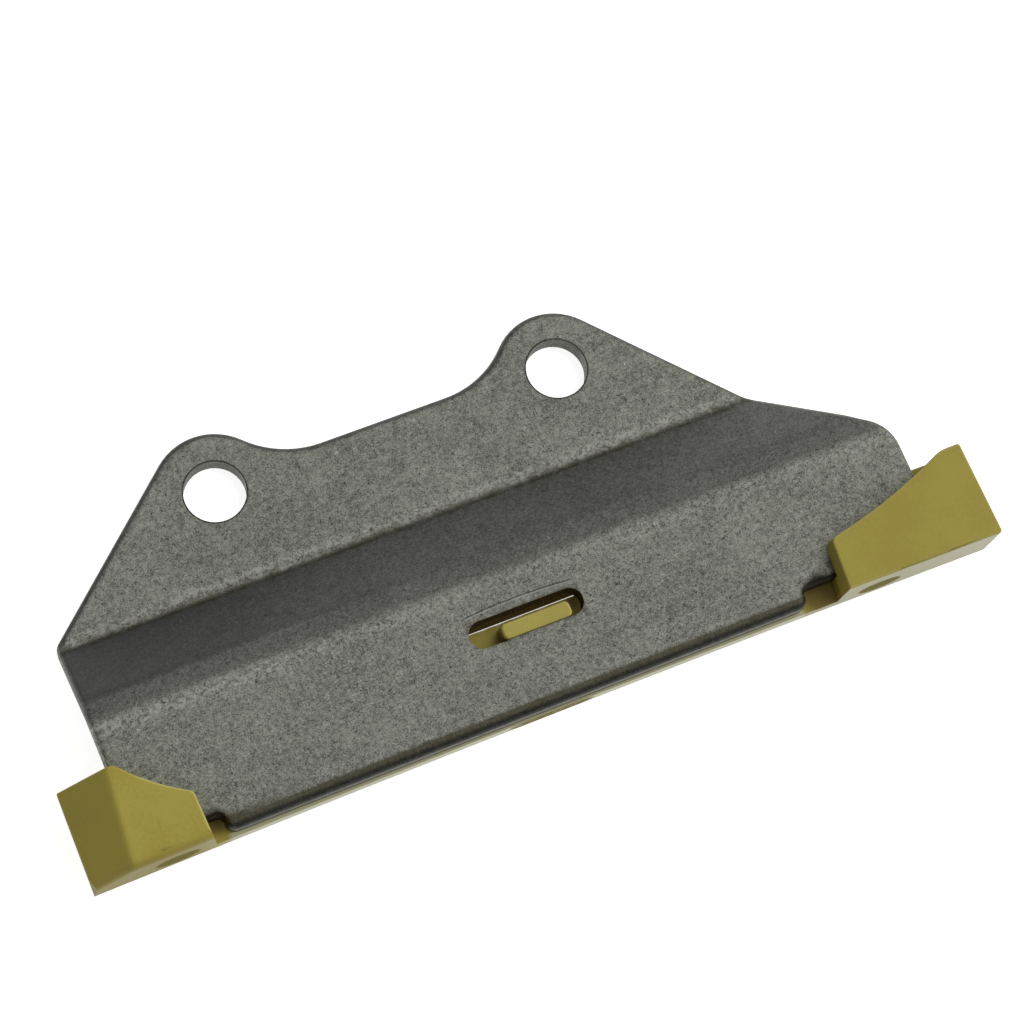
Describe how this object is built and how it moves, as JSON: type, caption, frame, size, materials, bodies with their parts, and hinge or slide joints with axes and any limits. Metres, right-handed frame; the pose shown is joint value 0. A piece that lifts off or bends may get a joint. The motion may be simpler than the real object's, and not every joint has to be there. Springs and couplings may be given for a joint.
{
  "type": "timing chain guide",
  "caption": "Straight timing chain guide: a folded steel bracket with two bolt ears carries a moulded nylon shoe on its lower flange.",
  "frame": {"origin": "midway between the two bolt holes, on the face that bolts to the engine", "axes": "+X along the shoe towards its blunt end, +Y from the shoe to the bolt ears, +Z along the bolt axes towards the bolt heads"},
  "size_m": [0.1286, 0.0535, 0.0122],
  "materials": {
    "steel": "bare stamped steel, tumbled to a dull grain",
    "nylon": "moulded, satin, olive yellow"
  },
  "bodies": {
    "root": {"bracket_plate": "steel", "guide_shoe": "nylon"}
  },
  "joints": []
}
